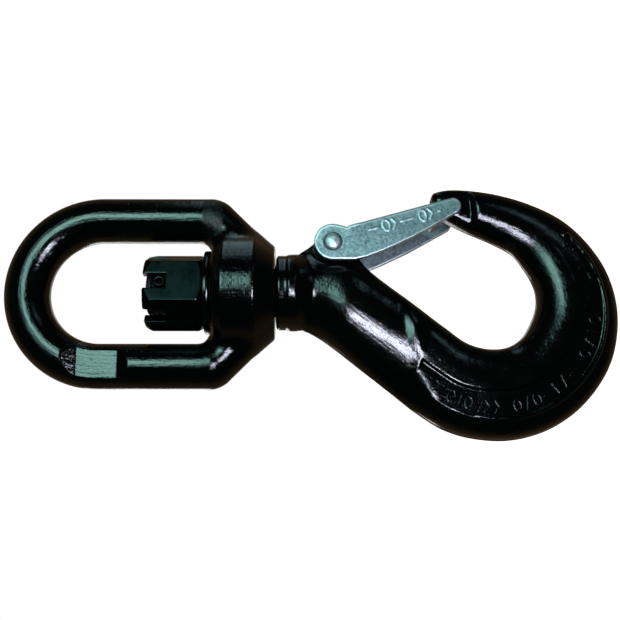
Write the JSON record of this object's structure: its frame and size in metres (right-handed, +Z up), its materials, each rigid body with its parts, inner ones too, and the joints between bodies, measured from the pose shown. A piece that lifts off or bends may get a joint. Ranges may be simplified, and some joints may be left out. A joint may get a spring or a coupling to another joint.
{
  "type": "swivel hook",
  "caption": "Lifting swivel hook: a closed eye with a bored boss that carries a sling hook on a slotted nut, with a sprung safety latch across the mouth.",
  "frame": {"origin": "seat inside the top of the eye, where the load hangs from", "axes": "+Z up along the shank when it hangs in use, +X toward the mouth of the hook, Y along the latch rivet, with the rivet's domed head at -Y"},
  "size_m": [0.1028, 0.046, 0.2479],
  "materials": {
    "black_enamel": "glossy black enamel over a forged skin",
    "dark_nut": "dark, oiled, machined steel",
    "zinc_plate": "zinc plated pressed sheet with a fine grain",
    "bright_steel": "zinc plated steel, smooth"
  },
  "bodies": {
    "eye": {"swivel_eye": "black_enamel"},
    "washer": {"thrust_washer": "dark_nut"},
    "hook": {"hook_body": "black_enamel", "slotted_nut": "dark_nut", "nut_spring_pin": "dark_nut", "latch_spring": "bright_steel"},
    "latch": {"latch_channel": "zinc_plate", "latch_rivet": "bright_steel"}
  },
  "joints": [
    {"name": "hook_swivel", "type": "hinge", "parent": "eye", "child": "hook", "pos_m": [0, 0, -0.066], "axis": [0, 0, 1], "continuous": true},
    {"name": "washer_spin", "type": "hinge", "parent": "eye", "child": "washer", "pos_m": [0, 0, -0.0643], "axis": [0, 0, 1], "continuous": true},
    {"name": "latch_pivot", "type": "hinge", "parent": "hook", "child": "latch", "pos_m": [0.0179, 0, -0.1144], "axis": [0, 1, 0], "range_deg": [0, 44], "stiffness_Nm_per_rad": 0.12, "springref_deg": -51.57, "deforming": ["latch_spring"]}
  ]
}
